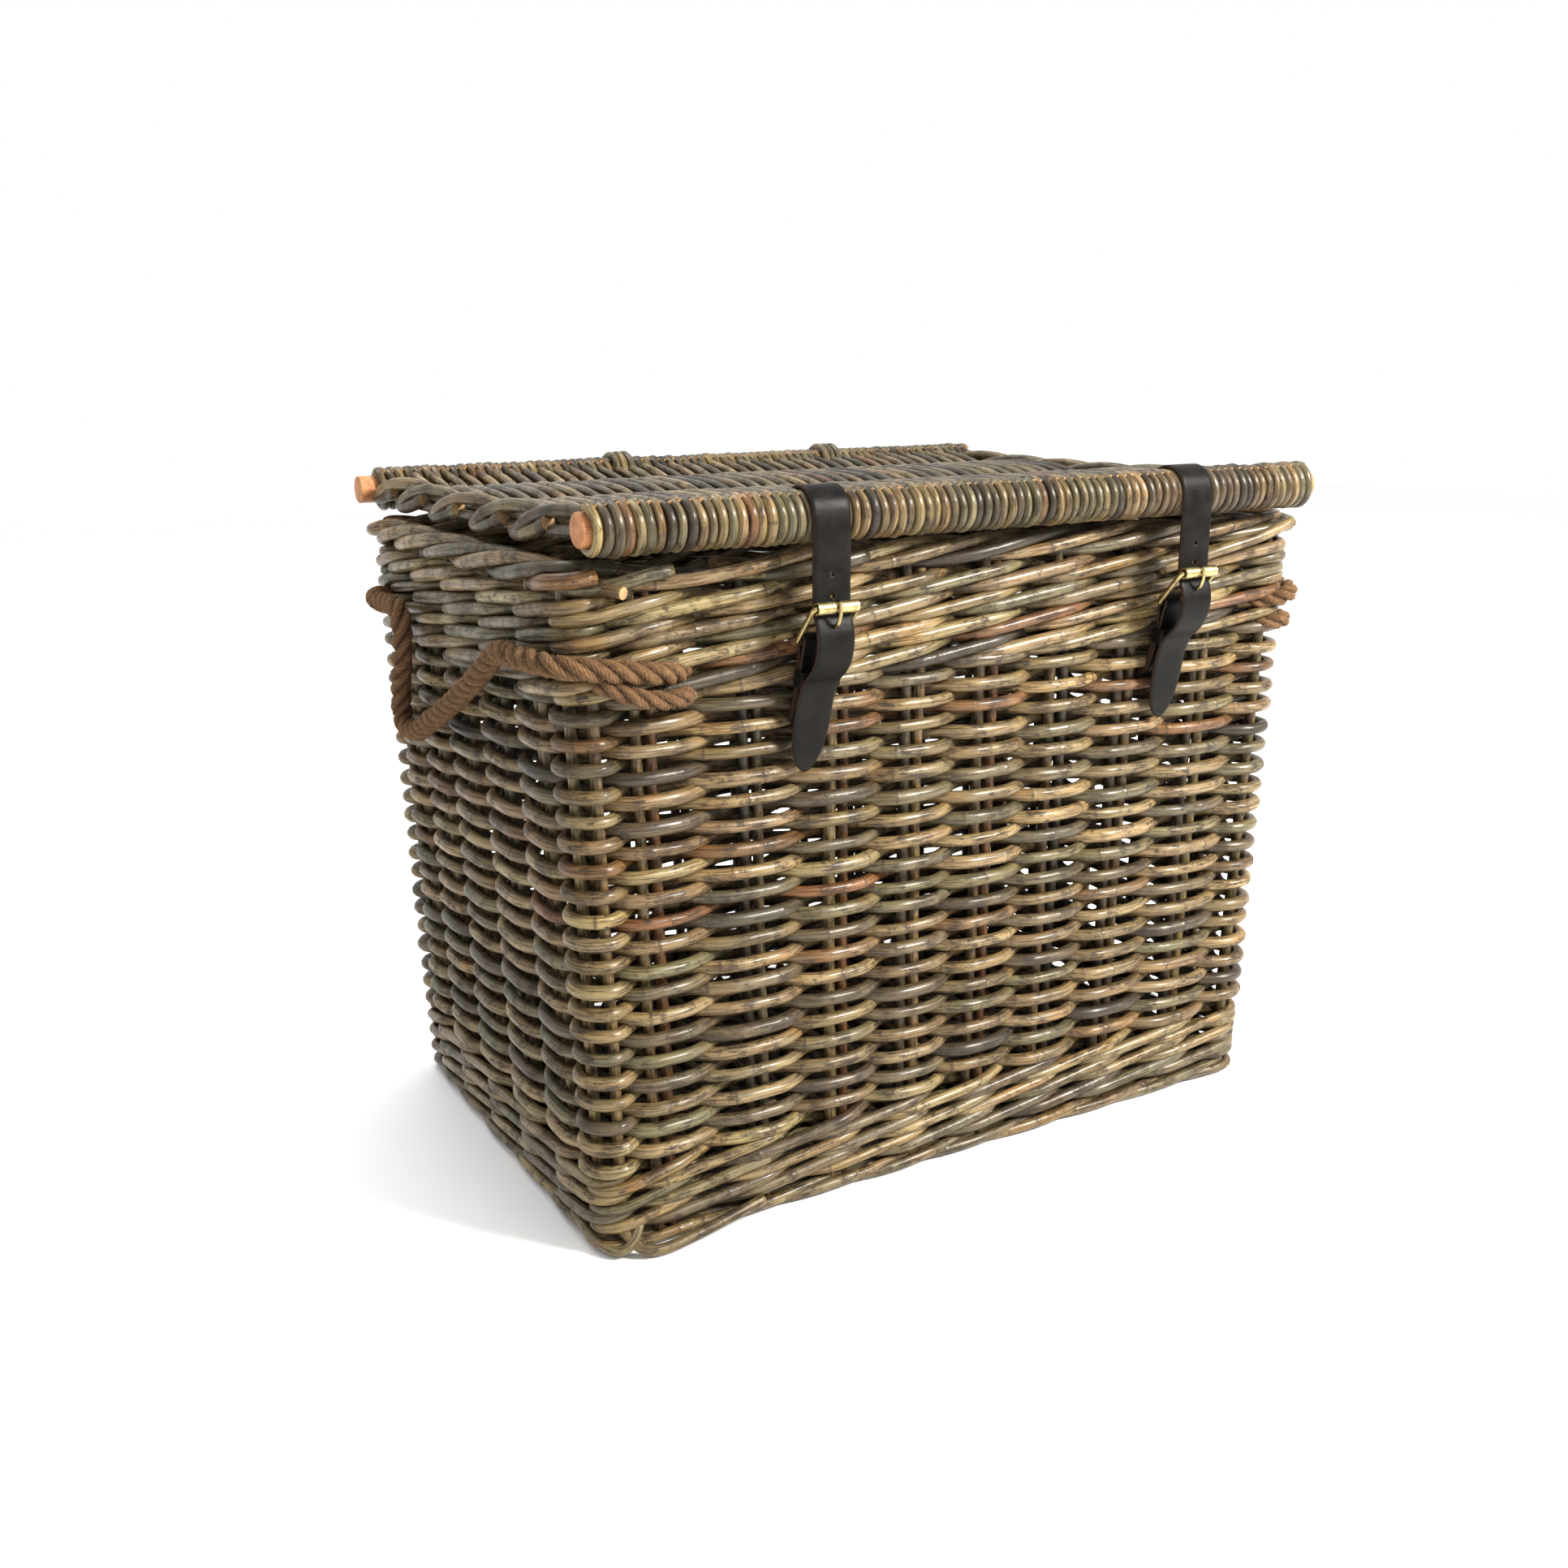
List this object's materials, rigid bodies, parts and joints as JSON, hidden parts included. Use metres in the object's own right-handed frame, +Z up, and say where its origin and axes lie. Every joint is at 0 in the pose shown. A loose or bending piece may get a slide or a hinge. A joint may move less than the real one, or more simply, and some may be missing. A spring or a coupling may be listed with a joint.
{
  "type": "wicker storage trunk",
  "caption": "Rectangular woven rattan trunk with a hinged woven lid, leather straps with roller buckles, and a rope carrying handle at each end.",
  "frame": {"origin": "middle of the basket's footprint, on the floor", "axes": "+X along the length, to the right seen from the strap side; +Y from the strap side to the hinge side; +Z up"},
  "size_m": [0.8046, 0.5871, 0.629],
  "materials": {
    "rattan": "satin varnished grey-brown rattan rods",
    "pole_cane": "bare orange-brown cane",
    "leather": "black-brown leather, low sheen",
    "brass": "antique brass",
    "rope": "coarse coir rope"
  },
  "bodies": {
    "basket": {"base_mat": "rattan", "base_sticks": "rattan", "foot_border": "rattan", "bottom_wale": "rattan", "weave_front": "rattan", "weave_back": "rattan", "weave_left": "rattan", "weave_right": "rattan", "stakes_front": "rattan", "stakes_back": "rattan", "stakes_left": "rattan", "stakes_right": "rattan", "stakes_corner": "rattan", "top_wale": "rattan", "rim_border": "rattan", "hinge_loop_left": "rattan", "hinge_loop_right": "rattan", "anchor_strap_left": "leather", "anchor_strap_right": "leather", "keeper_left": "leather", "keeper_right": "leather", "rope_left_back": "rope", "rope_left_front": "rope", "rope_left_eye": "rope", "rope_right_back": "rope", "rope_right_front": "rope", "rope_right_eye": "rope"},
    "lid": {"lid_pole_front": "pole_cane", "lid_pole_back": "pole_cane", "lid_wrap_front": "rattan", "lid_wrap_back": "rattan", "lid_ribs": "rattan", "lid_panel": "rattan", "lid_braid_left": "rattan", "lid_braid_right": "rattan"},
    "strap_left": {"strap_left": "leather"},
    "buckle_left": {"buckle_frame_left": "brass"},
    "roller_left": {"roller_left": "brass"},
    "prong_left": {"prong_left": "brass"},
    "handle_left": {"handle_left": "rope"},
    "strap_right": {"strap_right": "leather"},
    "buckle_right": {"buckle_frame_right": "brass"},
    "roller_right": {"roller_right": "brass"},
    "prong_right": {"prong_right": "brass"},
    "handle_right": {"handle_right": "rope"}
  },
  "joints": [
    {"name": "lid_hinge", "type": "hinge", "parent": "basket", "child": "lid", "pos_m": [0, 0.262, 0.602], "axis": [-1, 0, 0], "range_deg": [0, 110]},
    {"name": "strap_left_swing", "type": "hinge", "parent": "lid", "child": "strap_left", "pos_m": [-0.167, -0.262, 0.602], "axis": [1, 0, 0], "range_deg": [0, 110], "deforming": ["strap_left"]},
    {"name": "buckle_left_swing", "type": "hinge", "parent": "basket", "child": "buckle_left", "pos_m": [-0.167, -0.264, 0.505], "axis": [1, 0, 0], "range_deg": [0, 55]},
    {"name": "roller_left_spin", "type": "hinge", "parent": "buckle_left", "child": "roller_left", "pos_m": [-0.167, -0.2905, 0.534], "axis": [1, 0, 0], "continuous": true},
    {"name": "prong_left_swing", "type": "hinge", "parent": "buckle_left", "child": "prong_left", "pos_m": [-0.167, -0.264, 0.505], "axis": [1, 0, 0], "range_deg": [0, 40]},
    {"name": "handle_left_swing", "type": "hinge", "parent": "basket", "child": "handle_left", "pos_m": [-0.392, -0.01, 0.504], "axis": [0, 1, 0], "range_deg": [0, 150]},
    {"name": "strap_right_swing", "type": "hinge", "parent": "lid", "child": "strap_right", "pos_m": [0.207, -0.262, 0.602], "axis": [1, 0, 0], "range_deg": [0, 110], "deforming": ["strap_right"]},
    {"name": "buckle_right_swing", "type": "hinge", "parent": "basket", "child": "buckle_right", "pos_m": [0.207, -0.264, 0.505], "axis": [1, 0, 0], "range_deg": [0, 55]},
    {"name": "roller_right_spin", "type": "hinge", "parent": "buckle_right", "child": "roller_right", "pos_m": [0.207, -0.2905, 0.534], "axis": [1, 0, 0], "continuous": true},
    {"name": "prong_right_swing", "type": "hinge", "parent": "buckle_right", "child": "prong_right", "pos_m": [0.207, -0.264, 0.505], "axis": [1, 0, 0], "range_deg": [0, 40]},
    {"name": "handle_right_swing", "type": "hinge", "parent": "basket", "child": "handle_right", "pos_m": [0.392, -0.01, 0.504], "axis": [0, -1, 0], "range_deg": [0, 150]}
  ],
  "couplings": [
    {"joint": "strap_left_swing", "follows": "lid_hinge", "ratio": 1},
    {"joint": "strap_right_swing", "follows": "lid_hinge", "ratio": 1}
  ]
}
